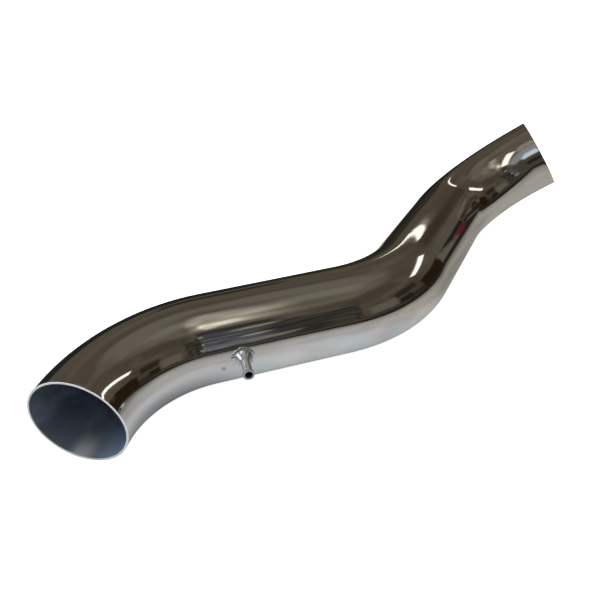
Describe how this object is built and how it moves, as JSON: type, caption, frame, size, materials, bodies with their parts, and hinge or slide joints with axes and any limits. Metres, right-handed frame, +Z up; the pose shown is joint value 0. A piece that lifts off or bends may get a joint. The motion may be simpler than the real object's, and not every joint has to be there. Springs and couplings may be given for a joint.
{
  "type": "air intake tube",
  "caption": "Thin-walled metal air intake tube with three smooth bends in two planes, open at both ends, and a small lipped hose nipple welded to its side.",
  "frame": {"origin": "middle of the part's footprint, on the plane the tube rests on", "axes": "+X along the middle straight from the inlet end towards the outlet end, +Z up from the resting plane, the nipple stands out along -Y, raised 3 degrees"},
  "size_m": [0.5642, 0.2839, 0.1184],
  "materials": {
    "polished_tube": "mirror polished outside, dull blue-grey inside",
    "turned_nipple": "bright turned",
    "weld_metal": "rippled, as welded"
  },
  "bodies": {
    "root": {"intake_tube": "polished_tube", "hose_nipple": "turned_nipple", "weld_bead": "weld_metal"}
  },
  "joints": []
}
